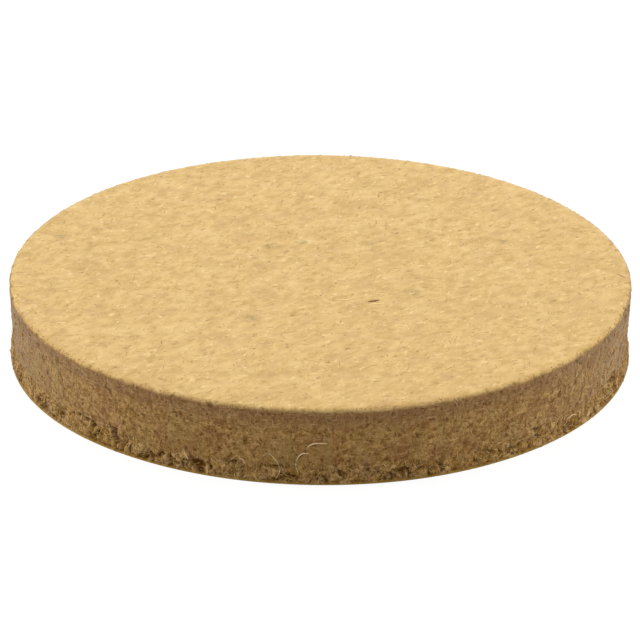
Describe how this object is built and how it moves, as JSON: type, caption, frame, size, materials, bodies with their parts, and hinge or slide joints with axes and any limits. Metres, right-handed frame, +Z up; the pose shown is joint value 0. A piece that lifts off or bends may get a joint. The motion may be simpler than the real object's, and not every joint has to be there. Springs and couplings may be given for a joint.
{
  "type": "felt furniture pad",
  "caption": "Round flat pad stamped from thick tan felt, with a rolled upper edge and a torn tufted foot, to go under a furniture leg.",
  "frame": {"origin": "centre of the flat underside, on the surface that the pad lies on", "axes": "+Z up through the thickness, out of the pressed face; X and Y lie in the underside"},
  "size_m": [0.0382, 0.038, 0.005],
  "materials": {
    "felt": "matte needled felt, tan on the pressed face and brown on the cut wall"
  },
  "bodies": {
    "root": {"felt_pad": "felt"}
  },
  "joints": []
}
